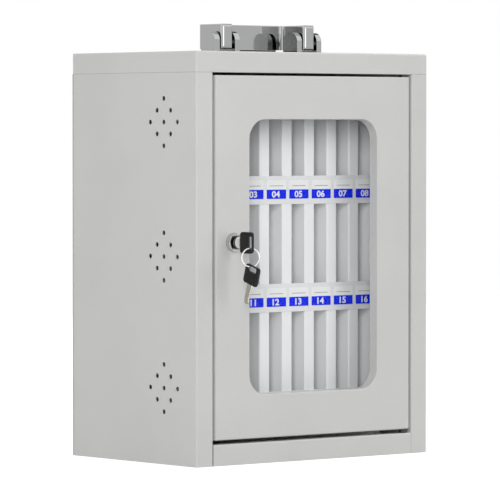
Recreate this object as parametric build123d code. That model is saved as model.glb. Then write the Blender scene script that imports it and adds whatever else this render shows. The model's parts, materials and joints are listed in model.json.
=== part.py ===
from build123d import *
import os

# Wall-mounted locker box for cell phones. Millimetres, +Z up, front towards -Y.
# The origin is the centre of the underside.

# ---- Cabinet shell -------------------------------------------------------------------------
BOX_W = 372.0
BOX_D = 246.0
BOX_H = 500.6
SHEET = 1.2             # folded steel sheet
BEND_R = 2.0            # outside radius of a fold
SEAM_R = 0.8            # small fold radius along the seam under the cap
CAP_H = 25.8            # height of the cap's skirt
STILE_W = 25.8          # front face of each stile
RAIL_H = 25.8           # front rail below the door
STOP_LIP = 9.2          # lip that the closed door meets on the lock side
FLANGE = 15.0           # welded flanges on the panels
RAIL_RETURN = 14.0      # shelf behind the top of the rail, and behind the cap's skirt
SEAM_GAP = 0.6          # seam between separate sheets
WALL_HOLE_R = 4.0
WALL_HOLE_INSET = 66.0  # wall holes in from the sides
WALL_HOLE_RISE = 25.0   # lower holes above the underside
WALL_HOLE_DROP = 13.8   # upper holes below the cap's seam

# ---- Vents: three diamonds of round holes in each side -------------------------------------
VENT_R = 3.0
VENT_SETBACK = 63.2     # from the front face
VENT_LOW_RISE = 92.7    # lowest diamond's middle above the underside
VENT_MIDDLE_Z = 252.2
VENT_HIGH_DROP = 59.8   # highest diamond's middle below the cap's seam
VENT_COLUMN = 13.1
VENT_ROW = 14.35
VENT_REACH = 2          # rows above and below the middle one

# ---- Door ----------------------------------------------------------------------------------
DOOR_T = 14.0
SIDE_GAP = 3.6
TOP_GAP = 3.2
BOTTOM_GAP = 4.9
CORNER_R = 1.5          # welded corners of the door pan
FRAME_SIDE = 53.6       # door frame beside, below and above the window
FRAME_FOOT = 53.3
FRAME_HEAD = 53.3
WINDOW_R = 25.0
WINDOW_EDGE_R = 1.2
PANE_T = 3.0
PANE_LAP = 10.0         # pane beyond the window on every side
PANE_R = 12.0
TAPE_T = 1.0            # foam tape between the door and the pane
TAPE_W = 8.0
TAPE_INSET = 1.0        # tape back from the window's edge
CLIP_T = 1.5
CLIP_W = 16.0
CLIP_LAP = 5.0          # clip over the pane
CLIP_FOOT = 12.0
CLIP_GAP = 0.5          # between the pane's edge and the clip's step
CLIP_INSET = 47.75      # end clips in from the window's ends
SCREW_R = 1.5
SCREW_HEAD_R = 3.0
SCREW_HEAD_T = 1.8
SCREW_TIP = 1.5         # screw end beyond the sheet that it holds in
HEAD_ROUNDING = 1 / 3   # share of a screw head's height
BUFFER_R = 3.4
BUFFER_T = 1.6
BUFFER_INSET = 70.0     # buffers in from the door's ends
STOP_GAP = 0.2          # between the closed door and its buffers

# ---- Hinge ---------------------------------------------------------------------------------
HINGE_INSET_X = 6.0     # pivot line from the door's right edge
HINGE_INSET_Y = 5.5     # pivot line behind the door's front face
PIN_R = 2.5
PIN_HEAD_R = 3.5
PIN_HEAD_T = 2.0
PIN_RUN = 0.08          # radial running clearance in the bush
BUSH_WALL = 1.0
BUSH_RIM_R = 4.5
BUSH_TAIL = 1.0         # sleeve beyond the sheet
THRUST_GAP = 0.3        # bush rim to door

# ---- Cam lock ------------------------------------------------------------------------------
LOCK_INSET = 27.9       # lock axis from the door's left edge
LOCK_Z = 269.7
BEZEL_R = 11.8
BEZEL_FACE_R = 10.4
BEZEL_RIM = 2.0         # straight part of the bezel
BEZEL_H = 6.0
BARREL_R = 9.5
BARREL_FLATS = 16.0
BARREL_FIT = 0.15       # barrel in the door's hole
BARREL_END_GAP = 0.3    # barrel's end to the cam
DUST_R = 9.0            # recess around the plug
DUST_DEPTH = 3.2
PLUG_R = 7.3
PLUG_RUN = 0.06
PLUG_PROUD = 12.6       # plug's face in front of the door
PLUG_EDGE_R = 0.8
PLUG_COLLAR_R = 8.4
PLUG_COLLAR_T = 1.2
AXIAL_GAP = 0.1
NUT_ACROSS = 24.0
NUT_T = 4.0
ACCESS_R = 17.0         # hole in the door liner around the nut
CAM_SETBACK = 17.5      # cam's front face behind the door's front face
CAM_T = 2.0
CAM_W = 14.0
CAM_REACH = 36.0
CAM_HUB_R = 8.0
TAIL_SQUARE = 7.0
TAIL_FIT = 0.1
CAM_SCREW_R = 2.0
CAM_SCREW_HEAD_R = 4.6
CAM_SCREW_HEAD_T = 2.6
CAM_SCREW_L = 8.0

# ---- Keys and ring -------------------------------------------------------------------------
BLADE_T = 2.0
BLADE_H = 8.2
BLADE_IN = 23.0         # blade inside the plug
BLADE_FIT = 0.2
BLADE_TANG = 8.0        # blade inside the bow
BLADE_POINT = 2.6
CUT_DEPTHS = (1.2, 2.0, 0.9, 1.6, 1.1)
CUT_PITCH = 3.2
CUT_FIRST = 4.6         # first cut from the tip
CUT_W = 1.3
BOW_STANDOFF = 13.8     # bow in front of the door
BOW_L = 23.6
BOW_H = 26.0
BOW_T = 3.2
BOW_R = 4.0
BOW_EDGE_R = 0.8
EYE_L = 6.5             # slot for the ring, along the key
EYE_H = 15.0
EYE_RIM = 1.6           # bow outside the slot
EYE_R = 1.5
EYE_EDGE_R = 0.5        # rounding of the slot's rims
RING_R = 11.2           # to the wire's centre
WIRE_R = 0.8
RING_SEAT = 1.25        # wire's centre to the edge that it hangs on
RING_SKEW = 20.0        # ring turned about the vertical
SPARE_TILT = 17.0       # spare key's tip towards the door
SPARE_SLIDE = 5.2       # ring's wire from the middle of the spare key's slot

# ---- Carrying handle -----------------------------------------------------------------------
HANDLE_SETBACK = 87.6   # front of the handle behind the front face
BAIL_W = 150.8
BAIL_D = 45.0
BAIL_H = 30.6
BAIL_LIFT = 5.2         # folded bail above the cap
ARM_W = 18.2
GRIP_T = 2.6
ARM_EDGE_R = 3.6
BAIL_RIM_R = 0.8        # along the bail's upper and lower edges
GRIP_FILLET = 6.0
LUG_T = 7.8
LUG_D = 27.2
LUG_H = 26.7
LUG_R = 11.5
ARM_SIDE_GAP = 3.0
SADDLE_T = 1.2          # plate that joins a bracket's two lugs
PIVOT_SETBACK = 10.0    # pivot behind the handle's front
PIVOT_H = 13.5          # pivot above the cap
PIVOT_R = 3.0
PIVOT_RUN = 0.08
PIVOT_IN_LUG = 5.0
FOLD_GAP = 0.5          # bracket's rest pad to the arm that stands up
REST_GAP = 0.2
REST_STRIP_D = 5.4      # rubber strip under the grip
REST_STRIP_GAP = 0.5    # strip's ends to the lugs
HANDLE_SCREW_R = 2.0
HANDLE_SCREW_L = 9.0    # inside the lug
HANDLE_SCREW_HEAD_R = 4.0
HANDLE_SCREW_HEAD_T = 2.6
HANDLE_SCREW_SPAN = 13.0

# ---- Phone rack ----------------------------------------------------------------------------
COLUMNS = 8
TIERS = 3
RACK_SIDE_ROOM = 32.3   # rack's side to the cabinet's outside
RACK_HEADROOM = 27.7    # rack's dividers to the cap's seam
TIER_BASE = 47.2        # underside of the lowest tier's floor
RACK_SHEET = 1.2
RACK_BEND_R = 1.5
DIVIDER_W = 16.2
STRIP_SETBACK = 51.0    # front of the label strips behind the front face
STRIP_H = 35.0
STRIP_T = 1.0
CARD_GAP = 5.4          # between neighbouring cards
CARD_H = 22.9
CARD_T = 0.3
CARD_DROP = 5.4         # card below the strip's top edge
CARD_R = 0.8
RACK_SCREW_X = 60.0
RACK_SCREW_RISE = 25.0  # lower screws above the underside
RACK_SCREW_DROP = 13.8  # upper screws below the cap's seam
RACK_SCREW_R = 2.0
RACK_SCREW_HEAD_R = 4.0
RACK_SCREW_HEAD_T = 2.4
ACCESS_MARGIN = 3.0     # rack's back cleared around each wall hole

# ---- Places worked out from the sizes above ------------------------------------------------
FRONT = -BOX_D / 2
BACK = BOX_D / 2
HALF_W = BOX_W / 2
CAP_Z = BOX_H - CAP_H
JAMB_X = HALF_W - STILE_W
DOOR_HALF = JAMB_X - SIDE_GAP
DOOR_BOTTOM = RAIL_H + BOTTOM_GAP
DOOR_TOP = CAP_Z - TOP_GAP
DOOR_BACK = FRONT + DOOR_T
STOP_LIP_Y = DOOR_BACK + STOP_GAP + BUFFER_T
VENT_HEIGHTS = (VENT_LOW_RISE, VENT_MIDDLE_Z, CAP_Z - VENT_HIGH_DROP)
WINDOW_W = 2 * (DOOR_HALF - FRAME_SIDE)
WINDOW_H = DOOR_TOP - FRAME_HEAD - DOOR_BOTTOM - FRAME_FOOT
WINDOW_MID = DOOR_BOTTOM + FRAME_FOOT + WINDOW_H / 2
CLIP_RISE = WINDOW_H / 2 - CLIP_INSET
PANE_Y = DOOR_BACK + TAPE_T
HINGE_X = DOOR_HALF - HINGE_INSET_X
HINGE_Y = FRONT + HINGE_INSET_Y
LOCK_X = -DOOR_HALF + LOCK_INSET
CAM_Y = FRONT + CAM_SETBACK
BOW_Y = FRONT - BOW_STANDOFF
BLADE_TIP_Y = FRONT - PLUG_PROUD + BLADE_IN
BLADE_L = BLADE_IN + BOW_STANDOFF - PLUG_PROUD
EYE_MID = -BOW_L + EYE_RIM + EYE_L / 2      # slot's middle, from the bow's inner end
RING_TOP_Z = LOCK_Z - EYE_H / 2 + RING_SEAT
RING_Y = BOW_Y + EYE_MID
RING_BOTTOM_Z = RING_TOP_Z - 2 * RING_R
SPARE_EYE = -BOW_L + EYE_RIM + RING_SEAT    # where the ring's wire passes the spare's slot
RACK_FRONT = FRONT + STRIP_SETBACK + STRIP_T
BACK_SHEET_Y = BACK - SHEET
RACK_REAR = BACK_SHEET_Y - RACK_SHEET
RACK_OUTER = HALF_W - RACK_SIDE_ROOM
RACK_INNER = RACK_OUTER - DIVIDER_W
COLUMN_PITCH = (RACK_INNER + RACK_OUTER) / COLUMNS
CARD_W = COLUMN_PITCH - CARD_GAP
RACK_TOP = CAP_Z - RACK_HEADROOM
TIER_PITCH = (RACK_TOP - TIER_BASE) / TIERS
HANDLE_FRONT = FRONT + HANDLE_SETBACK
PIVOT_Y = HANDLE_FRONT + PIVOT_SETBACK
PIVOT_Z = BOX_H + PIVOT_H
CLEVIS_MID = BAIL_W / 2 - ARM_W / 2
CLEVIS_HALF = ARM_W / 2 + ARM_SIDE_GAP
REST_FROM = PIVOT_H - BAIL_LIFT + FOLD_GAP  # rest pad behind the pivot
TIER_NAMES = ("lower", "middle", "upper")

LEFT, RIGHT = -1, 1


# ---- Shapes used again and again -----------------------------------------------------------
def block(x, y, z):
    """A rectangular solid; x, y and z are its (low, high) limits."""
    size = Box(x[1] - x[0], y[1] - y[0], z[1] - z[0])
    return Pos((x[0] + x[1]) / 2, (y[0] + y[1]) / 2, (z[0] + z[1]) / 2) * size


def rod_x(radius, x, y, z):
    """A cylinder along X, from x[0] to x[1]."""
    middle = Pos((x[0] + x[1]) / 2, y, z)
    return middle * Rot(0, 90, 0) * Cylinder(radius, x[1] - x[0])


def rod_y(radius, x, y, z):
    """A cylinder along Y, from y[0] to y[1]."""
    middle = Pos(x, (y[0] + y[1]) / 2, z)
    return middle * Rot(90, 0, 0) * Cylinder(radius, y[1] - y[0])


def rod_z(radius, x, y, z):
    """A cylinder along Z, from z[0] to z[1]."""
    return Pos(x, y, (z[0] + z[1]) / 2) * Cylinder(radius, z[1] - z[0])


def rounded_slab(width, height, radius, y, x_mid, z_mid):
    """A plate facing -Y with rounded corners, from y[0] to y[1]."""
    outline = RectangleRounded(width, height, radius)
    face = Plane(origin=(x_mid, y[0], z_mid), x_dir=(1, 0, 0), z_dir=(0, 1, 0)) * outline
    return extrude(face, y[1] - y[0])


def sheet_section(path, side, thickness, radius):
    """Section of a sheet with square folds. Its face runs along path, and its thickness
    lies to the left of the path (side 1) or to the right (side -1)."""
    points = [Vector(*p) for p in path]
    ways = [(b - a).normalized() for a, b in zip(points, points[1:])]
    normals = [Vector(-w.Y, w.X) * side for w in ways]
    inner = [points[0] + normals[0] * thickness]
    for point, before, after in zip(points[1:-1], normals, normals[1:]):
        inner.append(point + (before + after) * thickness)
    inner.append(points[-1] + normals[-1] * thickness)
    outline = points + inner[::-1]
    face = make_face(Polyline(*outline, close=True))
    for number in range(1, len(points) - 1):
        turn = ways[number - 1].X * ways[number].Y - ways[number - 1].Y * ways[number].X
        outside, inside = points[number], inner[number]
        if turn * side < 0:
            outside, inside = inside, outside
        for place, size in ((outside, radius), (inside, radius - thickness)):
            if size > 0:
                face = fillet(face.vertices().sort_by_distance(place)[0], size)
    return face


def folded(path, side, z, thickness=SHEET, radius=BEND_R):
    """A folded sheet standing along Z."""
    section = sheet_section(path, side, thickness, radius)
    return Pos(0, 0, z[0]) * extrude(section, z[1] - z[0])


def other_side(shape):
    return mirror(shape, about=Plane.YZ)


def joined(solids):
    """One node made of several separate solids."""
    return Compound(children=[s for shape in solids for s in shape.solids()])


def edges_along(shape, axis, test):
    return [e for e in shape.edges().filter_by(axis) if test(e.center())]


# ---- Cabinet -------------------------------------------------------------------------------
def vents(side):
    """Cutters for one side's diamonds of round holes."""
    cutters = []
    for height in VENT_HEIGHTS:
        for row in range(-VENT_REACH, VENT_REACH + 1):
            span = VENT_REACH - abs(row)
            for column in range(-span, span + 1, 2):
                y = FRONT + VENT_SETBACK + column * VENT_COLUMN
                z = height + row * VENT_ROW
                wall = sorted((side * (HALF_W + SHEET), side * (HALF_W - 2 * SHEET)))
                cutters.append(rod_x(VENT_R, wall, y, z))
    return cutters


def side_panel(side):
    """Side wall with its stile, the jamb beside the door and the rear flange."""
    stile_end = (-JAMB_X, FRONT)
    jamb_end = [(-JAMB_X, STOP_LIP_Y)]
    if side == LEFT:
        jamb_end.append((-JAMB_X + STOP_LIP, STOP_LIP_Y))
    path = [
        (-HALF_W + FLANGE, BACK_SHEET_Y),
        (-HALF_W, BACK_SHEET_Y),
        (-HALF_W, FRONT),
        stile_end,
        *jamb_end,
    ]
    panel = folded(path, 1, (0, CAP_Z))
    top_flange = block((-HALF_W + SHEET, -HALF_W + FLANGE),
                       (FRONT + SHEET, BACK_SHEET_Y - SHEET), (CAP_Z - SHEET, CAP_Z))
    floor_room = block((-HALF_W + SHEET, HALF_W), (FRONT + SHEET, BACK_SHEET_Y), (0, SHEET))
    panel = panel + top_flange - floor_room
    if side == RIGHT:
        panel = other_side(panel)
    return panel - vents(side)


def top_cap():
    """Cap with a skirt all round and a flange inside its lower edge."""
    cap = block((-HALF_W, HALF_W), (FRONT, BACK), (CAP_Z, BOX_H))
    corners = edges_along(cap, Axis.Z, lambda c: True)
    cap = fillet(corners, BEND_R)
    cap = fillet(cap.faces().sort_by(Axis.Z)[-1].edges(), BEND_R)
    cap = fillet(cap.faces().sort_by(Axis.Z)[0].edges(), SEAM_R)
    inside = block((-HALF_W + SHEET, HALF_W - SHEET), (FRONT + SHEET, BACK - SHEET),
                   (CAP_Z + SHEET, BOX_H - SHEET))
    mouth = block((-HALF_W + RAIL_RETURN, HALF_W - RAIL_RETURN),
                  (FRONT + RAIL_RETURN, BACK - RAIL_RETURN), (CAP_Z, CAP_Z + SHEET))
    cap = cap - inside - mouth
    cap = cap - rod_z(PIN_R + PIN_RUN + BUSH_WALL, HINGE_X, HINGE_Y, (CAP_Z, CAP_Z + SHEET))
    holes = [rod_z(HANDLE_SCREW_R, x, y, (BOX_H - SHEET, BOX_H)) for x, y in handle_screw_places()]
    return cap - holes


def bottom_panel():
    """Floor with upturned flanges; its front flange is the rail below the door."""
    inner = HALF_W - SHEET
    floor = block((-inner, inner), (FRONT + SHEET, BACK_SHEET_Y), (0, SHEET))
    rail_half = JAMB_X - SEAM_GAP
    rail_path = [(FRONT, 0), (FRONT, RAIL_H), (FRONT + RAIL_RETURN, RAIL_H)]
    section = sheet_section(rail_path, -1, SHEET, SEAM_R + SHEET)
    plane = Plane(origin=(-rail_half, 0, 0), x_dir=(0, 1, 0), z_dir=(1, 0, 0))
    rail = extrude(plane * section, 2 * rail_half)
    rail = rail - rod_z(PIN_R + PIN_RUN + BUSH_WALL, HINGE_X, HINGE_Y, (RAIL_H - SHEET, RAIL_H))
    flanges = [
        block(sorted((side * inner, side * (inner - SHEET))),
              (STOP_LIP_Y + FLANGE, BACK_SHEET_Y - FLANGE), (0, FLANGE))
        for side in (LEFT, RIGHT)
    ]
    return floor + rail + flanges


def wall_hole_places():
    reach = HALF_W - WALL_HOLE_INSET
    heights = (WALL_HOLE_RISE, CAP_Z - WALL_HOLE_DROP)
    return [(x, z) for x in (-reach, reach) for z in heights]


def rack_screw_places():
    heights = (RACK_SCREW_RISE, CAP_Z - RACK_SCREW_DROP)
    return [(x, z) for x in (-RACK_SCREW_X, RACK_SCREW_X) for z in heights]


def back_panel():
    panel = block((-HALF_W, HALF_W), (BACK_SHEET_Y, BACK), (0, CAP_Z))
    wall = (BACK_SHEET_Y, BACK)
    panel = panel - [rod_y(WALL_HOLE_R, x, wall, z) for x, z in wall_hole_places()]
    return panel - [rod_y(RACK_SCREW_R, x, wall, z) for x, z in rack_screw_places()]


def door_buffers():
    x = -JAMB_X + STOP_LIP - BUFFER_R
    return joined(rod_y(BUFFER_R, x, (STOP_LIP_Y - BUFFER_T, STOP_LIP_Y), z)
                  for z in (DOOR_BOTTOM + BUFFER_INSET, DOOR_TOP - BUFFER_INSET))


# ---- Door ----------------------------------------------------------------------------------
def lock_hole(radius, flats, y):
    """Round hole or barrel with two flats, along Y at the lock's axis."""
    half = flats / 2
    return rod_y(radius, LOCK_X, y, LOCK_Z) & block((LOCK_X - half, LOCK_X + half), y,
                                                    (LOCK_Z - radius, LOCK_Z + radius))


def window_slab(margin, y):
    return rounded_slab(WINDOW_W + 2 * margin, WINDOW_H + 2 * margin, WINDOW_R + margin,
                        y, 0, WINDOW_MID)


def door_shell():
    """Pan with folded edges, and a jamb pressed back around the window."""
    pan = block((-DOOR_HALF, DOOR_HALF), (FRONT, DOOR_BACK), (DOOR_BOTTOM, DOOR_TOP))
    pan = fillet(pan.edges().filter_by(Axis.Y), CORNER_R)
    pan = fillet(pan.faces().sort_by(Axis.Y)[0].edges(), BEND_R)
    room = block((-DOOR_HALF + SHEET, DOOR_HALF - SHEET), (FRONT + SHEET, DOOR_BACK),
                 (DOOR_BOTTOM + SHEET, DOOR_TOP - SHEET))
    liner_front = DOOR_BACK - SHEET
    pan = pan - room + window_slab(SHEET, (FRONT, liner_front))
    pan = pan - window_slab(0, (FRONT - SHEET, DOOR_BACK))
    lip = [e for e in pan.faces().sort_by(Axis.Y)[0].inner_wires()[0].edges()]
    pan = fillet(lip, WINDOW_EDGE_R)
    pan = pan - lock_hole(BARREL_R + BARREL_FIT, BARREL_FLATS + 2 * BARREL_FIT,
                          (FRONT, FRONT + SHEET))
    for low in (DOOR_BOTTOM, DOOR_TOP - SHEET):
        pan = pan - rod_z(PIN_R, HINGE_X, HINGE_Y, (low, low + SHEET))
    return pan


def clip_places():
    """Middle of each pane clip on the window's sides: x side and height."""
    rises = (-CLIP_RISE, 0, CLIP_RISE)
    return [(side, WINDOW_MID + rise) for side in (LEFT, RIGHT) for rise in rises]


def clip_screw_x(side):
    return side * (WINDOW_W / 2 + PANE_LAP + CLIP_GAP + CLIP_FOOT / 2)


def door_liner():
    """Back sheet of the door, with the window, a hole around the lock nut and screw holes."""
    wall = (DOOR_BACK - SHEET, DOOR_BACK)
    liner = block((-DOOR_HALF + SHEET, DOOR_HALF - SHEET), wall,
                  (DOOR_BOTTOM + SHEET, DOOR_TOP - SHEET))
    liner = liner - window_slab(0, wall) - rod_y(ACCESS_R, LOCK_X, wall, LOCK_Z)
    return liner - [rod_y(SCREW_R, clip_screw_x(side), wall, z) for side, z in clip_places()]


def pane_tape():
    """Foam tape frame between the liner and the pane."""
    y = (DOOR_BACK, PANE_Y)
    reach = 2 * (TAPE_INSET + TAPE_W)
    outer = rounded_slab(WINDOW_W + reach, WINDOW_H + reach, PANE_R, y, 0, WINDOW_MID)
    return outer - window_slab(TAPE_INSET, y)


def window_pane():
    return rounded_slab(WINDOW_W + 2 * PANE_LAP, WINDOW_H + 2 * PANE_LAP, PANE_R,
                        (PANE_Y, PANE_Y + PANE_T), 0, WINDOW_MID)


def pane_clips():
    """Stepped steel clips that hold the pane's edges against the tape."""
    edge = WINDOW_W / 2 + PANE_LAP
    over = PANE_Y + PANE_T
    path = [
        (edge - CLIP_LAP, over + CLIP_T),
        (edge + CLIP_GAP + CLIP_T, over + CLIP_T),
        (edge + CLIP_GAP + CLIP_T, DOOR_BACK + CLIP_T),
        (edge + CLIP_GAP + CLIP_FOOT, DOOR_BACK + CLIP_T),
    ]
    clips = []
    for side, z in clip_places():
        clip = folded(path, -1, (z - CLIP_W / 2, z + CLIP_W / 2), CLIP_T, CLIP_T)
        clip = clip - rod_y(SCREW_R, clip_screw_x(RIGHT), (DOOR_BACK, DOOR_BACK + CLIP_T), z)
        clips.append(clip if side == RIGHT else other_side(clip))
    return joined(clips)


def screw_y(shank_r, head_r, head_t, x, z, y_tip, y_seat, way):
    """A pan-head screw along Y. Its head stands off y_seat in the direction way."""
    shank = rod_y(shank_r, x, sorted((y_tip, y_seat)), z)
    head = rod_y(head_r, x, sorted((y_seat, y_seat + way * head_t)), z)
    face = head.faces().sort_by(Axis.Y)[-1 if way > 0 else 0]
    head = fillet(face.edges(), head_t * HEAD_ROUNDING)
    return shank + head


def clip_screws():
    tip = DOOR_BACK - SHEET - SCREW_TIP
    return joined(screw_y(SCREW_R, SCREW_HEAD_R, SCREW_HEAD_T, clip_screw_x(side), z,
                          tip, DOOR_BACK + CLIP_T, 1) for side, z in clip_places())


def hinge_pins():
    """Upper and lower pivot pins, headed inside the door and fixed in its flanges."""
    reach = SHEET + BUSH_TAIL
    upper = rod_z(PIN_R, HINGE_X, HINGE_Y, (DOOR_TOP - SHEET, CAP_Z + reach))
    upper += rod_z(PIN_HEAD_R, HINGE_X, HINGE_Y, (DOOR_TOP - SHEET - PIN_HEAD_T, DOOR_TOP - SHEET))
    lower = rod_z(PIN_R, HINGE_X, HINGE_Y, (RAIL_H - reach, DOOR_BOTTOM + SHEET))
    lower += rod_z(PIN_HEAD_R, HINGE_X, HINGE_Y,
                   (DOOR_BOTTOM + SHEET, DOOR_BOTTOM + SHEET + PIN_HEAD_T))
    return joined((upper, lower))


def hinge_bushes():
    """Rimmed bushes in the cap's flange and in the rail's return."""
    sleeve_r = PIN_R + PIN_RUN + BUSH_WALL
    upper = rod_z(BUSH_RIM_R, HINGE_X, HINGE_Y, (DOOR_TOP + THRUST_GAP, CAP_Z))
    upper += rod_z(sleeve_r, HINGE_X, HINGE_Y, (CAP_Z, CAP_Z + SHEET + BUSH_TAIL))
    lower = rod_z(BUSH_RIM_R, HINGE_X, HINGE_Y, (RAIL_H, DOOR_BOTTOM - THRUST_GAP))
    lower += rod_z(sleeve_r, HINGE_X, HINGE_Y, (RAIL_H - SHEET - BUSH_TAIL, RAIL_H))
    bore = rod_z(PIN_R + PIN_RUN, HINGE_X, HINGE_Y, (0, BOX_H))
    return joined((upper - bore, lower - bore))


# ---- Cam lock ------------------------------------------------------------------------------
def lock_housing():
    """Domed bezel and flatted barrel, bored for the plug."""
    face_y = FRONT - BEZEL_H
    rim = rod_y(BEZEL_R, LOCK_X, (FRONT - BEZEL_RIM, FRONT), LOCK_Z)
    taper = Cone(BEZEL_R, BEZEL_FACE_R, BEZEL_H - BEZEL_RIM)
    taper = Pos(LOCK_X, FRONT - (BEZEL_RIM + BEZEL_H) / 2, LOCK_Z) * Rot(90, 0, 0) * taper
    bezel = rim + taper
    bezel = fillet(bezel.faces().sort_by(Axis.Y)[0].edges(), (BEZEL_FACE_R - DUST_R) / 2)
    barrel_end = CAM_Y - BARREL_END_GAP
    housing = bezel + lock_hole(BARREL_R, BARREL_FLATS, (FRONT, barrel_end))
    housing = housing - rod_y(PLUG_R + PLUG_RUN, LOCK_X, (face_y, barrel_end), LOCK_Z)
    return housing - rod_y(DUST_R, LOCK_X, (face_y, face_y + DUST_DEPTH), LOCK_Z)


def lock_nut():
    y = (FRONT + SHEET, FRONT + SHEET + NUT_T)
    hexagon = RegularPolygon(NUT_ACROSS / 2, 6, major_radius=False)
    plane = Plane(origin=(LOCK_X, y[0], LOCK_Z), x_dir=(1, 0, 0), z_dir=(0, 1, 0))
    return extrude(plane * hexagon, NUT_T) - rod_y(BARREL_R, LOCK_X, y, LOCK_Z)


def lock_plug():
    """Turning plug with a keyway, a collar inside the bezel and a square tail."""
    face_y = FRONT - PLUG_PROUD
    collar_y = FRONT - BEZEL_H + DUST_DEPTH - AXIAL_GAP
    plug = rod_y(PLUG_R, LOCK_X, (face_y, CAM_Y), LOCK_Z)
    plug = fillet(plug.faces().sort_by(Axis.Y)[0].edges(), PLUG_EDGE_R)
    plug += rod_y(PLUG_COLLAR_R, LOCK_X, (collar_y - PLUG_COLLAR_T, collar_y), LOCK_Z)
    half = TAIL_SQUARE / 2
    plug += block((LOCK_X - half, LOCK_X + half), (CAM_Y, CAM_Y + CAM_T - AXIAL_GAP),
                  (LOCK_Z - half, LOCK_Z + half))
    keyway_x = BLADE_T / 2 + BLADE_FIT
    keyway_z = BLADE_H / 2 + BLADE_FIT
    plug -= block((LOCK_X - keyway_x, LOCK_X + keyway_x), (face_y, BLADE_TIP_Y + BLADE_FIT),
                  (LOCK_Z - keyway_z, LOCK_Z + keyway_z))
    screw_end = CAM_Y + CAM_T - AXIAL_GAP
    return plug - rod_y(CAM_SCREW_R, LOCK_X, (CAM_Y + CAM_T - CAM_SCREW_L, screw_end), LOCK_Z)


def lock_cam():
    """Flat cam, hanging down while the door is unlocked."""
    y = (CAM_Y, CAM_Y + CAM_T)
    hub = rod_y(CAM_HUB_R, LOCK_X, y, LOCK_Z)
    tip_z = LOCK_Z - CAM_REACH + CAM_W / 2
    arm = block((LOCK_X - CAM_W / 2, LOCK_X + CAM_W / 2), y, (tip_z, LOCK_Z))
    cam = hub + arm + rod_y(CAM_W / 2, LOCK_X, y, tip_z)
    half = TAIL_SQUARE / 2 + TAIL_FIT
    return cam - block((LOCK_X - half, LOCK_X + half), y, (LOCK_Z - half, LOCK_Z + half))


def cam_screw():
    seat = CAM_Y + CAM_T
    return screw_y(CAM_SCREW_R, CAM_SCREW_HEAD_R, CAM_SCREW_HEAD_T, LOCK_X, LOCK_Z,
                   seat - CAM_SCREW_L, seat, 1)


# ---- Keys ----------------------------------------------------------------------------------
# A key lies along Y with its tip towards +Y; its origin is the inner end of the bow.
def key_blank(margin=0.0):
    """Blade and its tang without the cuts."""
    half_t, half_h = BLADE_T / 2 + margin, BLADE_H / 2 + margin
    return block((-half_t, half_t), (-BLADE_TANG, BLADE_L), (-half_h, half_h))


def key_blade():
    blade = key_blank()
    tip = edges_along(blade, Axis.X, lambda c: c.Y > BLADE_L / 2)
    blade = chamfer(tip, BLADE_POINT)
    for number, depth in enumerate(CUT_DEPTHS):
        y = BLADE_L - CUT_FIRST - number * CUT_PITCH
        notch = Plane(origin=(-BLADE_T, 0, 0), x_dir=(0, 1, 0), z_dir=(1, 0, 0)) * make_face(
            Polyline((y - CUT_W / 2, -BLADE_H / 2 + depth), (y + CUT_W / 2, -BLADE_H / 2 + depth),
                     (y + CUT_W / 2 + depth, -BLADE_H / 2), (y - CUT_W / 2 - depth, -BLADE_H / 2),
                     close=True))
        blade = blade - extrude(notch, 2 * BLADE_T)
    return blade


def key_bow():
    """Moulded bow with a slot for the ring."""
    outline = Pos(-BOW_L / 2, 0) * RectangleRounded(BOW_L, BOW_H, BOW_R)
    eye = Pos(EYE_MID, 0) * RectangleRounded(EYE_L, EYE_H, EYE_R)
    plane = Plane(origin=(-BOW_T / 2, 0, 0), x_dir=(0, 1, 0), z_dir=(1, 0, 0))
    bow = extrude(plane * outline, BOW_T)
    rims = [e for face in (bow.faces().sort_by(Axis.X)[0], bow.faces().sort_by(Axis.X)[-1])
            for e in face.edges()]
    bow = fillet(rims, BOW_EDGE_R) - extrude(plane * eye, BOW_T)
    eye_rims = [e for face in (bow.faces().sort_by(Axis.X)[0], bow.faces().sort_by(Axis.X)[-1])
                for wire in face.inner_wires() for e in wire.edges()]
    return fillet(eye_rims, EYE_EDGE_R) - key_blank()


KEY_PLACE = Pos(LOCK_X, BOW_Y, LOCK_Z)
SPARE_PLACE = (Pos(LOCK_X, RING_Y, RING_BOTTOM_Z) * Rot(SPARE_TILT - 90, 0, 0)
               * Pos(0, -SPARE_EYE, -SPARE_SLIDE))


def key_ring():
    ring = Rot(0, 0, -RING_SKEW) * Rot(90, 0, 0) * Torus(RING_R, WIRE_R)
    return Pos(LOCK_X, RING_Y, RING_TOP_Z - RING_R) * ring


# ---- Carrying handle -----------------------------------------------------------------------
def bracket_x(side):
    """Both lugs of one bracket, as (low, high) limits along X."""
    outer = side * CLEVIS_MID
    return [(outer - CLEVIS_HALF - LUG_T, outer - CLEVIS_HALF),
            (outer + CLEVIS_HALF, outer + CLEVIS_HALF + LUG_T)]


def handle_screw_places():
    middle = HANDLE_FRONT + LUG_D / 2
    return [((low + high) / 2, middle + offset)
            for side in (LEFT, RIGHT)
            for low, high in bracket_x(side)
            for offset in (-HANDLE_SCREW_SPAN / 2, HANDLE_SCREW_SPAN / 2)]


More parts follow.
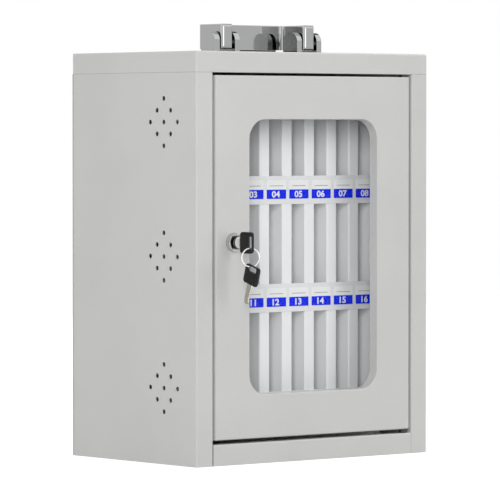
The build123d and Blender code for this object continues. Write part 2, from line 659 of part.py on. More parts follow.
def handle_bracket(side):
    """Two arched lugs on a saddle, with a pad on which the folded bail rests."""
    y = (HANDLE_FRONT, HANDLE_FRONT + LUG_D)
    bracket = None
    for x in bracket_x(side):
        lug = block(x, y, (BOX_H, BOX_H + LUG_H))
        lug = fillet(edges_along(lug, Axis.X, lambda c: c.Z > BOX_H + LUG_H / 2), LUG_R)
        bracket = lug if bracket is None else bracket + lug
    gap = (side * CLEVIS_MID - CLEVIS_HALF, side * CLEVIS_MID + CLEVIS_HALF)
    bracket += block(gap, y, (BOX_H, BOX_H + SADDLE_T))
    bracket += block(gap, (PIVOT_Y + REST_FROM, y[1]), (BOX_H, BOX_H + BAIL_LIFT - REST_GAP))
    pin_x = (gap[0] - PIVOT_IN_LUG, gap[1] + PIVOT_IN_LUG)
    bracket -= rod_x(PIVOT_R, pin_x, PIVOT_Y, PIVOT_Z)
    for x, screw_at in handle_screw_places():
        bracket -= rod_z(HANDLE_SCREW_R, x, screw_at, (BOX_H, BOX_H + HANDLE_SCREW_L))
    return bracket


def handle_pins():
    pins = []
    for side in (LEFT, RIGHT):
        reach = CLEVIS_HALF + PIVOT_IN_LUG
        middle = side * CLEVIS_MID
        pins.append(rod_x(PIVOT_R, (middle - reach, middle + reach), PIVOT_Y, PIVOT_Z))
    return joined(pins)


def handle_bail():
    """Two thick arms joined by the flat grip, folded back over the cap."""
    low = BOX_H + BAIL_LIFT
    z = (low, low + BAIL_H)
    rear = HANDLE_FRONT + BAIL_D
    bail = block((-BAIL_W / 2, BAIL_W / 2), (HANDLE_FRONT, rear), z)
    room = block((-BAIL_W / 2 + ARM_W, BAIL_W / 2 - ARM_W), (HANDLE_FRONT, rear - GRIP_T), z)
    bail = bail - room
    corners = edges_along(bail, Axis.Z, lambda c: rear - 2 * GRIP_T < c.Y < rear - GRIP_T / 2)
    bail = fillet(corners, GRIP_FILLET)
    backs = edges_along(bail, Axis.Z, lambda c: c.Y > rear - GRIP_T / 2)
    bail = fillet(backs, ARM_EDGE_R)
    ends = edges_along(bail, Axis.Z, lambda c: c.Y < HANDLE_FRONT + GRIP_T)
    ends += edges_along(bail, Axis.X, lambda c: c.Y < HANDLE_FRONT + GRIP_T)
    bail = fillet(ends, ARM_EDGE_R)
    for side in (LEFT, RIGHT):
        reach = ARM_W / 2
        x = (side * CLEVIS_MID - reach, side * CLEVIS_MID + reach)
        bail = bail - rod_x(PIVOT_R + PIVOT_RUN, x, PIVOT_Y, PIVOT_Z)
    for face in (bail.faces().sort_by(Axis.Z)[0], bail.faces().sort_by(Axis.Z)[-1]):
        bail = fillet(face.edges(), BAIL_RIM_R)
    return bail


def handle_rest():
    """Rubber strip on the cap, on which the folded grip lies between the brackets."""
    half = CLEVIS_MID - CLEVIS_HALF - LUG_T - REST_STRIP_GAP
    grip_mid = HANDLE_FRONT + BAIL_D - GRIP_T / 2
    return block((-half, half), (grip_mid - REST_STRIP_D / 2, grip_mid + REST_STRIP_D / 2),
                 (BOX_H, BOX_H + BAIL_LIFT - REST_GAP))


def handle_screws():
    """Screws from inside the cap up into the lugs."""
    under = BOX_H - SHEET
    screws = []
    for x, y in handle_screw_places():
        screw = rod_z(HANDLE_SCREW_R, x, y, (under, BOX_H + HANDLE_SCREW_L))
        screw += rod_z(HANDLE_SCREW_HEAD_R, x, y, (under - HANDLE_SCREW_HEAD_T, under))
        screws.append(screw)
    return joined(screws)


# ---- Phone rack ----------------------------------------------------------------------------
def tier_floor_z(tier):
    return TIER_BASE + tier * TIER_PITCH


def channel(x_mid, z):
    """Hollow divider: a face towards the door and two sides running back."""
    half = DIVIDER_W / 2
    path = [(x_mid - half, RACK_REAR), (x_mid - half, RACK_FRONT),
            (x_mid + half, RACK_FRONT), (x_mid + half, RACK_REAR)]
    return folded(path, 1, z, RACK_SHEET, RACK_BEND_R)


def rack_pillar(side):
    """Channel at the rack's side, standing on the cabinet's floor."""
    return channel(side * COLUMNS * COLUMN_PITCH / 2, (SHEET, RACK_TOP))


def rack_dividers(tier):
    low = tier_floor_z(tier) + RACK_SHEET
    z = (low, tier_floor_z(tier + 1))
    return joined(channel((number - COLUMNS / 2) * COLUMN_PITCH, z)
                  for number in range(1, COLUMNS))


def rack_floor(tier):
    z = tier_floor_z(tier)
    return block((-RACK_INNER, RACK_INNER), (RACK_FRONT, RACK_REAR), (z, z + RACK_SHEET))


def rack_roof():
    return block((-RACK_OUTER, RACK_OUTER), (RACK_FRONT, RACK_REAR),
                 (RACK_TOP, RACK_TOP + RACK_SHEET))


def rack_back():
    """Rear sheet, cleared around the wall holes and screwed to the cabinet's back."""
    wall = (RACK_REAR, BACK_SHEET_Y)
    sheet = block((-RACK_OUTER, RACK_OUTER), wall, (SHEET + SEAM_GAP, CAP_Z - SEAM_GAP))
    sheet = sheet - [rod_y(WALL_HOLE_R + ACCESS_MARGIN, x, wall, z) for x, z in wall_hole_places()]
    return sheet - [rod_y(RACK_SCREW_R, x, wall, z) for x, z in rack_screw_places()]


def rack_screws():
    return joined(screw_y(RACK_SCREW_R, RACK_SCREW_HEAD_R, RACK_SCREW_HEAD_T, x, z,
                          BACK, RACK_REAR, -1) for x, z in rack_screw_places())


def label_strip(tier):
    """Strip across the foot of a tier, which keeps the phones in."""
    z = tier_floor_z(tier)
    return block((-RACK_OUTER, RACK_OUTER), (RACK_FRONT - STRIP_T, RACK_FRONT), (z, z + STRIP_H))


def label_cards(tier):
    front = RACK_FRONT - STRIP_T
    z = tier_floor_z(tier) + STRIP_H - CARD_DROP - CARD_H / 2
    cards = []
    for number in range(COLUMNS):
        x = (number - (COLUMNS - 1) / 2) * COLUMN_PITCH
        cards.append(rounded_slab(CARD_W, CARD_H, CARD_R, (front - CARD_T, front), x, z))
    return joined(cards)


# ---- Every named piece ---------------------------------------------------------------------
PIECES = {
    "side_panel_left": side_panel(LEFT),
    "side_panel_right": side_panel(RIGHT),
    "top_cap": top_cap(),
    "bottom_panel": bottom_panel(),
    "back_panel": back_panel(),
    "door_buffers": door_buffers(),
    "door_shell": door_shell(),
    "door_liner": door_liner(),
    "pane_tape": pane_tape(),
    "window_pane": window_pane(),
    "pane_clips": pane_clips(),
    "clip_screws": clip_screws(),
    "hinge_pins": hinge_pins(),
    "hinge_bushes": hinge_bushes(),
    "lock_housing": lock_housing(),
    "lock_nut": lock_nut(),
    "lock_plug": lock_plug(),
    "lock_cam": lock_cam(),
    "cam_screw": cam_screw(),
    "key_blade": KEY_PLACE * key_blade(),
    "key_bow": KEY_PLACE * key_bow(),
    "key_ring": key_ring(),
    "spare_key_blade": SPARE_PLACE * key_blade(),
    "spare_key_bow": SPARE_PLACE * key_bow(),
    "handle_bracket_left": handle_bracket(LEFT),
    "handle_bracket_right": handle_bracket(RIGHT),
    "handle_bail": handle_bail(),
    "handle_pins": handle_pins(),
    "handle_rest": handle_rest(),
    "handle_screws": handle_screws(),
    "rack_pillar_left": rack_pillar(LEFT),
    "rack_pillar_right": rack_pillar(RIGHT),
    "rack_roof": rack_roof(),
    "rack_back": rack_back(),
    "rack_screws": rack_screws(),
}
for tier, tier_name in enumerate(TIER_NAMES):
    PIECES["rack_floor_" + tier_name] = rack_floor(tier)
    PIECES["rack_dividers_" + tier_name] = rack_dividers(tier)
    PIECES["label_strip_" + tier_name] = label_strip(tier)
    PIECES["label_cards_" + tier_name] = label_cards(tier)

os.makedirs("parts", exist_ok=True)
for name, piece in PIECES.items():
    export_step(piece, "parts/" + name + ".step")
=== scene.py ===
import json
import math

import bmesh
import bpy
from mathutils import Matrix, Vector


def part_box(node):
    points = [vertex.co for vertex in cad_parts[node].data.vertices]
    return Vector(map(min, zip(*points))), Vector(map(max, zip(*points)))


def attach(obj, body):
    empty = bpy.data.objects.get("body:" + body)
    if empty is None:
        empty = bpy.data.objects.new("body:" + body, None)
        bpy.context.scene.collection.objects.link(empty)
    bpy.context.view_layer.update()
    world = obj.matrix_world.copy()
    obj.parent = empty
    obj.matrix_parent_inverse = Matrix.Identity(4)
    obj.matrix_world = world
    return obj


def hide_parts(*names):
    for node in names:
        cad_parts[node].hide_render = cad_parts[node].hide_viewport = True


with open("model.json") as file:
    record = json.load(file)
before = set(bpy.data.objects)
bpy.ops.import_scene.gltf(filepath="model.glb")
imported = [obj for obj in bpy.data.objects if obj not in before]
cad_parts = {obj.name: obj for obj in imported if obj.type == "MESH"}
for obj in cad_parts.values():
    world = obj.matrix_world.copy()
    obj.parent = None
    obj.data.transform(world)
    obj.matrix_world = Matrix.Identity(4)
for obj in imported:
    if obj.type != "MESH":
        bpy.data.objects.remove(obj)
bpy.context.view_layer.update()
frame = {"nodes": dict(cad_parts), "record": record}

MM = 0.001
NODES = frame["nodes"]
TIERS = ("lower", "middle", "upper")

# ---- Colours, as linear values -------------------------------------------------------------
WHITE = (1, 1, 1, 1)
BLACK = (0, 0, 0, 1)
CABINET_GREY = (0.580, 0.580, 0.568, 1)
CABINET_GREY_DEEP = (0.562, 0.562, 0.550, 1)
SPECK_DARK = (0.96, 0.96, 0.96, 1)     # the paint's grain multiplies its colour by these
SPECK_PALE = (1.02, 1.02, 1.02, 1)
RACK_WHITE = (0.930, 0.930, 0.935, 1)
RACK_WHITE_DEEP = (0.910, 0.910, 0.918, 1)
STRIP_WHITE = (0.840, 0.840, 0.845, 1)
CARD_WHITE = (0.950, 0.950, 0.945, 1)
CARD_WHITE_DEEP = (0.920, 0.920, 0.915, 1)
CARD_BLUE = (0.001, 0.022, 0.930, 1)
CARD_BLUE_DEEP = (0.001, 0.020, 0.860, 1)
NUMBER_WHITE = (0.900, 0.900, 0.900, 1)
PEN_LINE_GREY = (0.060, 0.060, 0.070, 1)
CHROME = (0.550, 0.556, 0.554, 1)
# the plug's face: frosted, and its pale colour is partly a painted highlight; its side: a dark
# colour that is painted shade and dark reflection
PLUG_FROST_AND_HIGHLIGHT = (0.900, 0.900, 0.890, 1)
PLUG_SIDE_PAINTED_SHADE = (0.140, 0.142, 0.142, 1)
ZINC = (0.560, 0.570, 0.570, 1)
ZINC_WARM = (0.600, 0.580, 0.500, 1)
STEEL_BRIGHT = (0.820, 0.820, 0.820, 1)
KEY_NICKEL = (0.660, 0.640, 0.580, 1)
KEY_BRASS = (0.560, 0.520, 0.430, 1)
KEY_BLACK = (0.005, 0.005, 0.005, 1)
KEY_BLACK_RUBBED = (0.010, 0.010, 0.010, 1)
NYLON_BLACK = (0.022, 0.022, 0.023, 1)
RUBBER_BLACK = (0.016, 0.016, 0.016, 1)
FOAM_BLACK = (0.020, 0.020, 0.021, 1)
PANE_TINT = (0.985, 0.990, 0.990, 1)

# ---- Other values of the finishes ----------------------------------------------------------
INK_THIN = 0.93                # thin ink's part of the full colour
BLACK_RUBBED = 1.7             # how many times paler rubber, foam and nylon get in places
ROUGHNESS_SPREAD = 0.08        # to each side of their middle roughness
PANE_GLOSS = 0.005             # the part of the light that the pane sends back straight on
PANE_SLANT_POWER = 5           # how late that part grows towards a slant
PANE_HAZE = 0.02
PLUG_FACE_DEPTH = 0.4 * MM     # the frosting ends in the plug's rounded edge
PLUG_FACE_METAL = 0.10         # how metallic the frosted face looks
PLUG_SIDE_POLISH = 0.85        # the part of the face's roughness that the side lacks


# ---- Node helpers --------------------------------------------------------------------------
class Shader:
    """A new material with one Principled shader, and short calls for its nodes."""

    def __init__(self, name, color, roughness, metallic=0.0):
        self.material = bpy.data.materials.new(name)
        self.material.use_nodes = True
        self.nodes = self.material.node_tree.nodes
        self.links = self.material.node_tree.links
        self.main = self.nodes["Principled BSDF"]
        self.main.inputs["Base Color"].default_value = color
        self.main.inputs["Roughness"].default_value = roughness
        self.main.inputs["Metallic"].default_value = metallic
        self.place = self.nodes.new("ShaderNodeTexCoord").outputs["Object"]

    def give(self, socket, value):
        """Links a socket to a node's output, or sets it to a plain value."""
        if isinstance(value, bpy.types.NodeSocket):
            self.links.new(value, socket)
        else:
            socket.default_value = value

    def feed(self, name, value):
        """Gives a value to an input of the Principled shader."""
        self.give(self.main.inputs[name], value)

    def along(self, axis):
        """The surface's place along one axis."""
        node = self.nodes.new("ShaderNodeSeparateXYZ")
        self.links.new(self.place, node.inputs["Vector"])
        return node.outputs[axis]

    def stretched(self, scale):
        """The surface's place times scale, so that noise gets finer along the larger ones."""
        node = self.nodes.new("ShaderNodeMapping")
        node.inputs["Scale"].default_value = scale
        self.links.new(self.place, node.inputs["Vector"])
        return node.outputs["Vector"]

    def noise(self, waves, detail, place=None):
        """Soft noise of about so many waves to the metre, with finer ones added by detail."""
        node = self.nodes.new("ShaderNodeTexNoise")
        node.inputs["Scale"].default_value = waves
        node.inputs["Detail"].default_value = detail
        self.links.new(place or self.place, node.inputs["Vector"])
        return node.outputs["Fac"]

    def ramp(self, value, low, high, start=0.3, end=0.7):
        """A colour from low to high as value goes from start to end."""
        node = self.nodes.new("ShaderNodeValToRGB")
        node.color_ramp.elements[0].position = start
        node.color_ramp.elements[1].position = end
        node.color_ramp.elements[0].color = low
        node.color_ramp.elements[1].color = high
        self.links.new(value, node.inputs["Fac"])
        return node.outputs["Color"]

    def span(self, value, low, high, start=0.3, end=0.7):
        """A number from low to high as value goes from start to end."""
        node = self.nodes.new("ShaderNodeMapRange")
        node.inputs["From Min"].default_value = start
        node.inputs["From Max"].default_value = end
        node.inputs["To Min"].default_value = low
        node.inputs["To Max"].default_value = high
        self.links.new(value, node.inputs["Value"])
        return node.outputs["Result"]

    def math(self, operation, first, second):
        node = self.nodes.new("ShaderNodeMath")
        node.operation = operation
        self.give(node.inputs[0], first)
        self.give(node.inputs[1], second)
        return node.outputs["Value"]

    def mix(self, factor, low, high, blend="MIX"):
        """Colours from low to high as factor goes from 0 to 1; blend says how high goes on low."""
        node = self.nodes.new("ShaderNodeMix")
        node.data_type = "RGBA"
        node.blend_type = blend
        self.give(node.inputs["Factor"], factor)
        self.give(node.inputs["A"], low)
        self.give(node.inputs["B"], high)
        return node.outputs["Result"]

    def bump(self, height, distance, strength):
        """Adds a bump, its distance in metres, on top of the ones that are already there."""
        node = self.nodes.new("ShaderNodeBump")
        node.inputs["Distance"].default_value = distance
        node.inputs["Strength"].default_value = strength
        self.links.new(height, node.inputs["Height"])
        before = self.main.inputs["Normal"].links
        if before:
            self.links.new(before[0].from_socket, node.inputs["Normal"])
        self.links.new(node.outputs["Normal"], self.main.inputs["Normal"])


def times(factor, color):
    """A colour with its three parts multiplied by factor."""
    return tuple(factor * part for part in color[:3]) + (1,)


# ---- Materials -----------------------------------------------------------------------------
def cabinet_paint():
    """Light grey powder coat: fine orange peel, faint mottling and handled patches."""
    s = Shader("cabinet_paint", CABINET_GREY, 0.33)
    mottled = s.ramp(s.noise(9, 3), CABINET_GREY_DEEP, CABINET_GREY, 0.35, 0.6)
    speck = s.ramp(s.noise(1500, 1), SPECK_DARK, SPECK_PALE)
    s.feed("Base Color", s.mix(1, mottled, speck, "MULTIPLY"))
    s.feed("Roughness", s.span(s.noise(14, 4), 0.28, 0.38))
    s.bump(s.noise(700, 2), 0.08 * MM, 0.5)
    s.bump(s.noise(190, 1), 0.16 * MM, 0.35)
    return s.material


def rack_white():
    """White folded sheet with a faint grain and a soft sheen."""
    s = Shader("rack_white", RACK_WHITE, 0.42)
    s.feed("Base Color", s.ramp(s.noise(12, 3), RACK_WHITE_DEEP, RACK_WHITE, 0.35, 0.6))
    s.feed("Roughness", s.span(s.noise(30, 3), 0.36, 0.5))
    s.bump(s.noise(1200, 2), 0.05 * MM, 0.4)
    return s.material


def strip_white():
    """White plastic strip, a little glossier than the rack."""
    s = Shader("strip_white", STRIP_WHITE, 0.3)
    s.feed("Roughness", s.span(s.noise(40, 3), 0.24, 0.36))
    s.bump(s.noise(260, 2), 0.04 * MM, 0.4)
    return s.material


def label_card(name, blue_top):
    """Printed card: blue up to the height blue_top and white above it."""
    s = Shader(name, CARD_WHITE, 0.5)
    s.feed("Specular IOR Level", 0.12)
    above = s.math("GREATER_THAN", s.along("Z"), blue_top)
    fibre = s.noise(900, 3)
    blue = s.ramp(fibre, CARD_BLUE_DEEP, CARD_BLUE)
    white = s.ramp(fibre, CARD_WHITE_DEEP, CARD_WHITE)
    s.feed("Base Color", s.mix(above, blue, white))
    s.feed("Roughness", s.span(s.noise(60, 2), 0.42, 0.56))
    s.bump(fibre, 0.03 * MM, 0.4)
    return s.material


def printed(name, color):
    """Ink: the card's fibre shows in it a little."""
    s = Shader(name, color, 0.45)
    s.feed("Base Color", s.ramp(s.noise(900, 3), times(INK_THIN, color), color))
    return s.material


def chrome_plate():
    """Bright chrome with faint polishing haze and fine upright wipe marks."""
    s = Shader("chrome_plate", CHROME, 0.1, 1.0)
    haze = s.noise(60, 4)
    wipe = s.noise(40, 3, s.stretched((30, 30, 1)))
    s.feed("Roughness", s.span(s.math("ADD", haze, wipe), 0.04, 0.12, 0.7, 1.3))
    s.bump(s.noise(90, 2), 0.02 * MM, 0.2)
    return s.material


def satin_plug():
    """The lock plug: a frosted face whose pale colour is partly a painted highlight, and a
    polished side painted dark as shade and dark reflection.
    """
    s = Shader("satin_plug", PLUG_FROST_AND_HIGHLIGHT, 0.5, 1.0)
    face_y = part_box("lock_plug")[0].y + PLUG_FACE_DEPTH
    on_side = s.math("GREATER_THAN", s.along("Y"), face_y)
    kept_roughness = s.math("SUBTRACT", 1, s.math("MULTIPLY", on_side, PLUG_SIDE_POLISH))
    # painted shade and dark reflection on the side; on the face, a pale frosted colour that is
    # partly a painted highlight
    s.feed("Base Color", s.mix(on_side, PLUG_FROST_AND_HIGHLIGHT, PLUG_SIDE_PAINTED_SHADE))
    s.feed("Metallic", s.math("MAXIMUM", on_side, PLUG_FACE_METAL))
    s.feed("Roughness", s.math("MULTIPLY", s.span(s.noise(260, 3), 0.44, 0.56), kept_roughness))
    s.bump(s.noise(900, 2, s.stretched((1, 0.2, 1))), 0.02 * MM, 0.4)
    return s.material


def zinc_steel():
    """Zinc plating: cool grey with warm passivated patches."""
    s = Shader("zinc_steel", ZINC, 0.34, 1.0)
    s.feed("Base Color", s.ramp(s.noise(120, 4), ZINC, ZINC_WARM, 0.4, 0.7))
    s.feed("Roughness", s.span(s.noise(200, 3), 0.26, 0.42))
    s.bump(s.noise(900, 2), 0.04 * MM, 0.4)
    return s.material


def ring_steel():
    """Bright spring steel with fine scuffs."""
    s = Shader("ring_steel", STEEL_BRIGHT, 0.16, 1.0)
    s.feed("Roughness", s.span(s.noise(500, 3), 0.1, 0.24))
    s.bump(s.noise(700, 2), 0.03 * MM, 0.3)
    return s.material


def key_metal():
    """Nickel-plated brass with fine level milling marks."""
    s = Shader("key_metal", KEY_NICKEL, 0.3, 1.0)
    milling = s.noise(300, 3, s.stretched((1, 1, 12)))
    s.feed("Base Color", s.ramp(milling, KEY_BRASS, KEY_NICKEL))
    s.feed("Roughness", s.span(milling, 0.22, 0.4))
    s.bump(milling, 0.04 * MM, 0.4)
    return s.material


def key_plastic():
    """Black moulded plastic, finely grained and rubbed a little paler in places."""
    s = Shader("key_plastic", KEY_BLACK, 0.34)
    s.feed("Specular IOR Level", 0.3)
    s.feed("Base Color", s.ramp(s.noise(180, 4), KEY_BLACK, KEY_BLACK_RUBBED, 0.45, 0.75))
    s.feed("Roughness", s.span(s.noise(240, 4), 0.24, 0.42))
    s.bump(s.noise(1800, 2), 0.03 * MM, 0.5)
    return s.material


def soft_black(name, color, roughness, waves, depth):
    """Rubber, foam or nylon: dark, with a grain of so many waves to the metre."""
    s = Shader(name, color, roughness)
    grain = s.noise(waves, 3)
    s.feed("Base Color", s.ramp(grain, color, times(BLACK_RUBBED, color), 0.4, 0.75))
    s.feed("Roughness", s.span(grain, roughness - ROUGHNESS_SPREAD, roughness + ROUGHNESS_SPREAD))
    s.bump(grain, depth, 0.6)
    return s.material


def clear_pane():
    """Clear acrylic with an anti-glare coat: little gloss seen straight on, more at a slant."""
    s = Shader("clear_pane", WHITE, PANE_HAZE)
    gloss = s.nodes.new("ShaderNodeBsdfGlossy")
    gloss.inputs["Color"].default_value = WHITE
    gloss.inputs["Roughness"].default_value = PANE_HAZE
    clear = s.nodes.new("ShaderNodeBsdfTransparent")
    clear.inputs["Color"].default_value = PANE_TINT
    slant = s.nodes.new("ShaderNodeLayerWeight").outputs["Facing"]
    share = s.math("ADD", s.math("POWER", slant, PANE_SLANT_POWER), PANE_GLOSS)
    mixed = s.nodes.new("ShaderNodeMixShader")
    s.links.new(share, mixed.inputs["Fac"])
    s.links.new(clear.outputs["BSDF"], mixed.inputs[1])
    s.links.new(gloss.outputs["BSDF"], mixed.inputs[2])
    s.links.new(mixed.outputs["Shader"], s.nodes["Material Output"].inputs["Surface"])
    s.nodes.remove(s.main)
    return s.material


MATERIALS = {
    "cabinet_paint": cabinet_paint(),
    "rack_white": rack_white(),
    "strip_white": strip_white(),
    "chrome_plate": chrome_plate(),
    "zinc_steel": zinc_steel(),
    "ring_steel": ring_steel(),
    "key_metal": key_metal(),
    "key_plastic": key_plastic(),
    "black_rubber": soft_black("black_rubber", RUBBER_BLACK, 0.7, 700, 0.08 * MM),
    "foam_tape": soft_black("foam_tape", FOAM_BLACK, 0.85, 1400, 0.15 * MM),
    "black_nylon": soft_black("black_nylon", NYLON_BLACK, 0.5, 500, 0.04 * MM),
    "clear_pane": clear_pane(),
}


def finish_with(obj, material):
    obj.data.materials.clear()
    obj.data.materials.append(material)


for part in frame["record"]["subparts"]:
    if part["material_slot"] in MATERIALS:
        finish_with(NODES[part["node"]], MATERIALS[part["material_slot"]])
finish_with(NODES["lock_plug"], satin_plug())


# ---- Label cards: blue band, numbers and a line to write on --------------------------------
COLUMNS = 8
CARD_W = 31.0 * MM
BLUE_BAND = 11.4 * MM
NUMBER_H = 7.4 * MM
NUMBER_BOLD = 0.34 * MM
NUMBER_STRETCH = 1.22
NUMBER_SHIFT = -1.0 * MM       # the figures sit a little left of the card's middle
PRINT_T = 0.05 * MM
PEN_LINE_W = 22.0 * MM
PEN_LINE_H = 0.5 * MM
PEN_LINE_RISE = 4.6 * MM       # above the blue band
FIGURE_STEPS = 6               # flats in each curved stretch of a figure
END_STEPS = 6                  # flats round each end of a line

number_ink = printed("number_ink", NUMBER_WHITE)
pen_ink = printed("pen_line_ink", PEN_LINE_GREY)


def mesh_object(name, mesh):
    obj = bpy.data.objects.new(name, mesh)
    bpy.context.scene.collection.objects.link(obj)
    return obj


def number_mesh(text):
    """Bold figures as one mesh, centred on the origin in the XZ plane, facing -Y."""
    curve = bpy.data.curves.new("figures", "FONT")
    curve.body = text
    curve.align_x = "CENTER"
    curve.size = 1
    curve.resolution_u = FIGURE_STEPS
    maker = mesh_object("figures", curve)
    bpy.context.view_layer.update()
    tall = maker.dimensions.y
    curve.size = NUMBER_H / tall
    curve.offset = NUMBER_BOLD
    curve.extrude = PRINT_T / 2
    bpy.context.view_layer.update()
    shaped = maker.evaluated_get(bpy.context.evaluated_depsgraph_get())
    mesh = bpy.data.meshes.new_from_object(shaped)
    bpy.data.objects.remove(maker)
    places = [v.co for v in mesh.vertices]
    middle_x = (min(p.x for p in places) + max(p.x for p in places)) / 2
    middle_y = (min(p.y for p in places) + max(p.y for p in places)) / 2
    mesh.transform(Matrix.Rotation(math.radians(90), 4, "X")
                   @ Matrix.Diagonal((NUMBER_STRETCH, 1, 1, 1))
                   @ Matrix.Translation((-middle_x, -middle_y, 0)))
    return mesh


def card_places(tier):
    """Middle of each card on a strip, the cards' front and their lower edge."""
    low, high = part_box("label_cards_" + tier)
    pitch = (high.x - low.x - CARD_W) / (COLUMNS - 1)
    middles = [low.x + CARD_W / 2 + column * pitch for column in range(COLUMNS)]
    return middles, low.y, low.z


def pen_line(name, centre):
    """A thin printed bar with rounded ends, facing -Y, its back on centre."""
    shell = bmesh.new()
    end_r = PEN_LINE_H / 2
    for side in (1, -1):
        for step in range(END_STEPS + 1):
            turn = math.pi * step / END_STEPS - math.pi / 2
            x = side * (PEN_LINE_W / 2 - end_r + math.cos(turn) * end_r)
            z = side * math.sin(turn) * end_r
            shell.verts.new((x, 0, z))
    face = shell.faces.new(shell.verts)
    grown = bmesh.ops.extrude_face_region(shell, geom=[face])
    moved = [g for g in grown["geom"] if isinstance(g, bmesh.types.BMVert)]
    bmesh.ops.translate(shell, verts=moved, vec=(0, -PRINT_T, 0))
    bmesh.ops.recalc_face_normals(shell, faces=shell.faces)
    mesh = bpy.data.meshes.new(name)
    shell.to_mesh(mesh)
    shell.free()
    mesh.transform(Matrix.Translation(centre))
    return mesh_object(name, mesh)


for level, tier in enumerate(TIERS):
    middles, front, foot = card_places(tier)
    card = NODES["label_cards_" + tier]
    finish_with(card, label_card("label_card_" + tier, foot + BLUE_BAND))
    for column, x in enumerate(middles):
        number = (len(TIERS) - 1 - level) * COLUMNS + column + 1
        figures = mesh_object("number_%02d" % number, number_mesh("%02d" % number))
        figures_at = (x + NUMBER_SHIFT, front - PRINT_T / 2, foot + BLUE_BAND / 2)
        figures.data.transform(Matrix.Translation(figures_at))
        finish_with(figures, number_ink)
        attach(figures, "cabinet")
        line = pen_line("pen_line_%02d" % number, (x, front, foot + BLUE_BAND + PEN_LINE_RISE))
        finish_with(line, pen_ink)
        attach(line, "cabinet")


# ---- Key ring: a split ring of two turns ---------------------------------------------------
RING_SKEW = math.radians(20)
RING_WIRE_R = 0.8 * MM         # the room that both turns together have
TURN_HALF_W = 0.70 * MM        # in the ring's plane
TURN_HALF_T = 0.33 * MM        # along the ring's axis
TURNS = 2
STEPS_PER_TURN = 96
STEPS_ROUND_WIRE = 12
SPLIT_GAP = math.radians(16)   # what the wire lacks of two full turns
STEP_OVER = math.radians(30)   # how gently it goes over to the other turn
SPLIT_TURN = math.radians(150)


def split_ring():
    """Two touching turns of wire, stepping over to each other at the split."""
    low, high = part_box("key_ring")
    centre = (low + high) / 2
    radius = (high.z - low.z) / 2 - RING_WIRE_R
    axis = Vector((0, 1, 0))
    shell = bmesh.new()
    rings = []
    total = TURNS * 2 * math.pi - SPLIT_GAP
    steps = TURNS * STEPS_PER_TURN
    for step in range(steps + 1):
        angle = total * step / steps
        # the wire steps from one plane to the other in the middle of its length
        side = math.tanh((angle - total / 2) / STEP_OVER) * TURN_HALF_T
        out = Vector((math.cos(angle), 0, math.sin(angle)))
        ring = []
        for point in range(STEPS_ROUND_WIRE):
            turn = 2 * math.pi * point / STEPS_ROUND_WIRE
            # an oval wire, wider across the ring than along its axis
            spread = out * math.cos(turn) * TURN_HALF_W + axis * math.sin(turn) * TURN_HALF_T
            ring.append(shell.verts.new(out * radius + axis * side + spread))
        rings.append(ring)
    for first, second in zip(rings, rings[1:]):
        for point in range(STEPS_ROUND_WIRE):
            after = (point + 1) % STEPS_ROUND_WIRE
            shell.faces.new((first[point], first[after], second[after], second[point]))
    shell.faces.new(rings[0][::-1])
    shell.faces.new(rings[-1])
    bmesh.ops.recalc_face_normals(shell, faces=shell.faces)
    mesh = bpy.data.meshes.new("split_ring")
    shell.to_mesh(mesh)
    shell.free()
    mesh.transform(Matrix.Translation(centre) @ Matrix.Rotation(-RING_SKEW, 4, "Z")
                   @ Matrix.Rotation(SPLIT_TURN, 4, "Y"))
    for polygon in mesh.polygons:
        polygon.use_smooth = True
    return mesh_object("split_ring", mesh)


ring = split_ring()
finish_with(ring, MATERIALS["ring_steel"])
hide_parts("key_ring")
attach(ring, "ring")


# ---- Floor, light and camera, in metres ----------------------------------------------------
FLOOR_SIZE = 40.0
FLOOR_DROP = 0.5 * MM
FLOOR_GREY = (0.40, 0.40, 0.40, 1)
FLOOR_GLOW = 0.88          # seen by the camera and in reflections only
WORLD_LIGHT = 0.34         # on surfaces; seen directly it is 1
WALL_R = 7.0
WALL_STEP = 5              # degrees
WALL_H = 2.0
BRIGHT_H = 1.3
HIGH_CURTAIN_H = 8.0
BRIGHT = 3.0               # how much each kind of wall glows
GREY = 0.68
DARK = 0.10
DARKEST = 0.03
WALL_GLOWS = (BRIGHT, GREY, DARK, DARKEST)
# each stretch's two ends in degrees, 0 in front of the door and growing to its right, then its
# glow, its foot and its head
WALL_STRETCHES = (
    (8, 32, BRIGHT, 0, BRIGHT_H),
    (32, 60, GREY, 0, WALL_H),
    (60, 65, DARK, 0, WALL_H),
    (-155, -125, GREY, 0, WALL_H),
    (-125, -115, DARK, 0, WALL_H),
    (80, 115, GREY, 0, WALL_H),
    (115, 120, DARK, 0, WALL_H),
    (135, 175, GREY, 0, WALL_H),
    (175, 180, DARK, 0, WALL_H),
    (-50, -39.8, DARKEST, 0, WALL_H),
    (95, 140, DARK, WALL_H, HIGH_CURTAIN_H),
)
# each lamp's name, its place, the point that it faces, its width, height and watts
LAMPS = (
    ("key_light", (1.3, -2.9, 1.6), (0, 0, 0.3), 1.6, 2.6, 26),
    ("fill_light", (-2.4, -2.6, 1.15), (0, 0, 0.3), 1.2, 2.0, 67),
    ("side_light", (-3.0, 0.4, 1.6), (0, 0, 0.3), 1.4, 2.4, 27),
    ("top_light", (1.7, -0.3, 2.3), (0, 0, 0.4), 1.6, 1.6, 44),
    ("back_light", (1.2, 3.0, 1.8), (0, 0, 0.3), 1.4, 2.0, 26),
)
CAMERA_AT = (-3.23093, -3.89924, 0.40429)
CAMERA_TILT = math.radians(88.315)     # up from looking straight down
CAMERA_TURN = math.radians(-39.638)    # from looking along +Y
CAMERA_LENS = 291.37                   # this and the sensor in millimetres
CAMERA_SENSOR = 36
CAMERA_REACH = 100


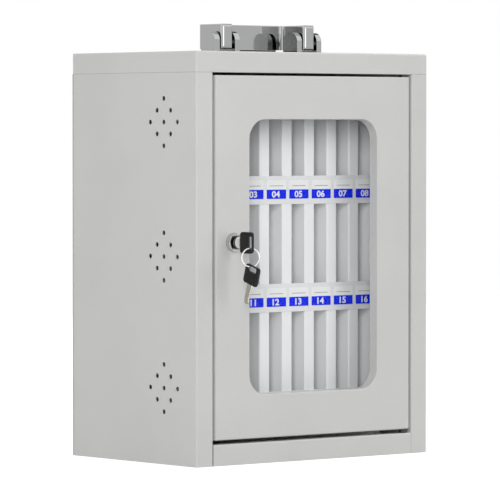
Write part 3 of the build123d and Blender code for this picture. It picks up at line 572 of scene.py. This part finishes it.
def seen_directly(nodes, links):
    """1 for rays from the camera and those that gloss and glass send on, else 0."""
    path = nodes.new("ShaderNodeLightPath")
    total = path.outputs["Is Camera Ray"]
    for name in ("Is Glossy Ray", "Is Transmission Ray"):
        node = nodes.new("ShaderNodeMath")
        node.operation = "MAXIMUM"
        links.new(total, node.inputs[0])
        links.new(path.outputs[name], node.inputs[1])
        total = node.outputs["Value"]
    return total


def white_world():
    """A white surrounding that gives less light than it seems to."""
    world = bpy.data.worlds.new("studio")
    world.use_nodes = True
    nodes, links = world.node_tree.nodes, world.node_tree.links
    background = nodes["Background"]
    background.inputs["Color"].default_value = WHITE
    strength = nodes.new("ShaderNodeMapRange")
    strength.inputs["To Min"].default_value = WORLD_LIGHT
    strength.inputs["To Max"].default_value = 1.0
    links.new(seen_directly(nodes, links), strength.inputs["Value"])
    links.new(strength.outputs["Result"], background.inputs["Strength"])
    bpy.context.scene.world = world


def floor():
    """A wide pale floor that shows white, and keeps the object's shadow."""
    half = FLOOR_SIZE / 2
    mesh = bpy.data.meshes.new("floor")
    corners = [(-half, -half, 0), (half, -half, 0), (half, half, 0), (-half, half, 0)]
    mesh.from_pydata(corners, [], [(0, 1, 2, 3)])
    obj = mesh_object("floor", mesh)
    obj.location.z = -FLOOR_DROP
    s = Shader("floor", FLOOR_GREY, 0.9)
    s.feed("Specular IOR Level", 0)
    s.feed("Emission Color", WHITE)
    s.feed("Emission Strength", s.math("MULTIPLY", seen_directly(s.nodes, s.links), FLOOR_GLOW))
    finish_with(obj, s.material)


def wall_finish(glow):
    """A dull black that sends out a white glow of its own."""
    s = Shader("studio_wall_%02d" % round(100 * glow), BLACK, 1.0)
    s.feed("Emission Color", WHITE)
    s.feed("Emission Strength", glow)
    return s.material


def studio_wall():
    """A bright card, grey walls and dark curtains round the studio, seen in reflections only."""
    mesh = bpy.data.meshes.new("studio_wall")
    points, faces, glows = [], [], []
    for first, last, glow, foot, head in WALL_STRETCHES:
        steps = max(1, round((last - first) / WALL_STEP))
        width = math.radians(last - first) / steps
        for step in range(steps):
            start = len(points)
            left = math.radians(first) + step * width
            for turn in (left, left + width):
                x, y = WALL_R * math.sin(turn), -WALL_R * math.cos(turn)
                points += [(x, y, foot), (x, y, head)]
            faces.append((start, start + 1, start + 3, start + 2))
            glows.append(glow)
    mesh.from_pydata(points, [], faces)
    obj = mesh_object("studio_wall", mesh)
    for glow in WALL_GLOWS:
        obj.data.materials.append(wall_finish(glow))
    for polygon, glow in zip(obj.data.polygons, glows):
        polygon.material_index = WALL_GLOWS.index(glow)
    obj.visible_camera = False
    obj.visible_diffuse = False
    obj.visible_shadow = False
    obj.visible_transmission = False


def softbox(name, place, target, width, height, watts):
    """A lamp that lights surfaces, but isn't seen by the camera or in reflections."""
    light = bpy.data.lights.new(name, "AREA")
    light.shape = "RECTANGLE"
    light.size = width
    light.size_y = height
    light.energy = watts
    obj = bpy.data.objects.new(name, light)
    bpy.context.scene.collection.objects.link(obj)
    obj.visible_camera = False
    obj.visible_glossy = False
    obj.location = place
    obj.rotation_mode = "QUATERNION"
    obj.rotation_quaternion = (Vector(target) - Vector(place)).to_track_quat("-Z", "Y")


def camera():
    """A long lens from the front left, a little above the cabinet's middle."""
    data = bpy.data.cameras.new("camera")
    data.lens = CAMERA_LENS
    data.sensor_width = CAMERA_SENSOR
    data.clip_end = CAMERA_REACH
    obj = bpy.data.objects.new("camera", data)
    bpy.context.scene.collection.objects.link(obj)
    obj.location = CAMERA_AT
    obj.rotation_euler = (CAMERA_TILT, 0, CAMERA_TURN)
    bpy.context.scene.camera = obj


white_world()
floor()
studio_wall()
for lamp in LAMPS:
    softbox(*lamp)
camera()
bpy.context.scene.view_settings.view_transform = "Standard"
